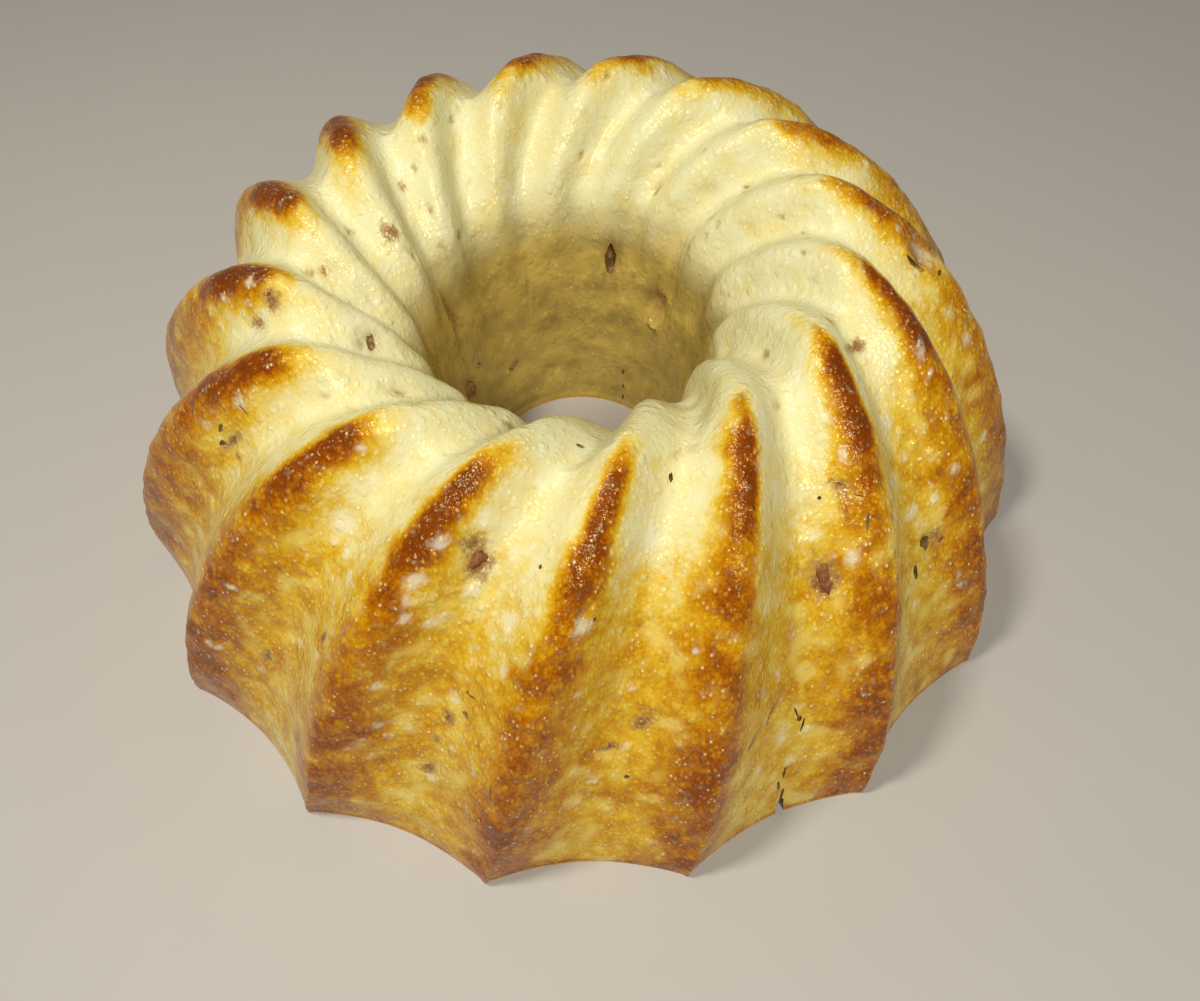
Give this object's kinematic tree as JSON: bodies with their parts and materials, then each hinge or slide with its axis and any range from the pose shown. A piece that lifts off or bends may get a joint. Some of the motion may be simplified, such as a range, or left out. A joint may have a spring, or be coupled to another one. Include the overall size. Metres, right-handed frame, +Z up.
{
  "type": "walnut ring cake",
  "caption": "Whole ring cake baked in a mould with twisted flutes: domed sides, pointed scalloped base edge, tapered centre hole, browned crests and small walnut pockets.",
  "frame": {"origin": "middle of the flat base, on the surface that the cake stands on", "axes": "+Z up through the centre hole, -Y towards the side that the picture was taken from, +X to its right"},
  "size_m": [0.2116, 0.2116, 0.0823],
  "materials": {
    "crust": "golden baked crust, pale in the valleys and glossy brown on the crests"
  },
  "bodies": {
    "root": {"walnut_cake": "crust"}
  },
  "joints": []
}
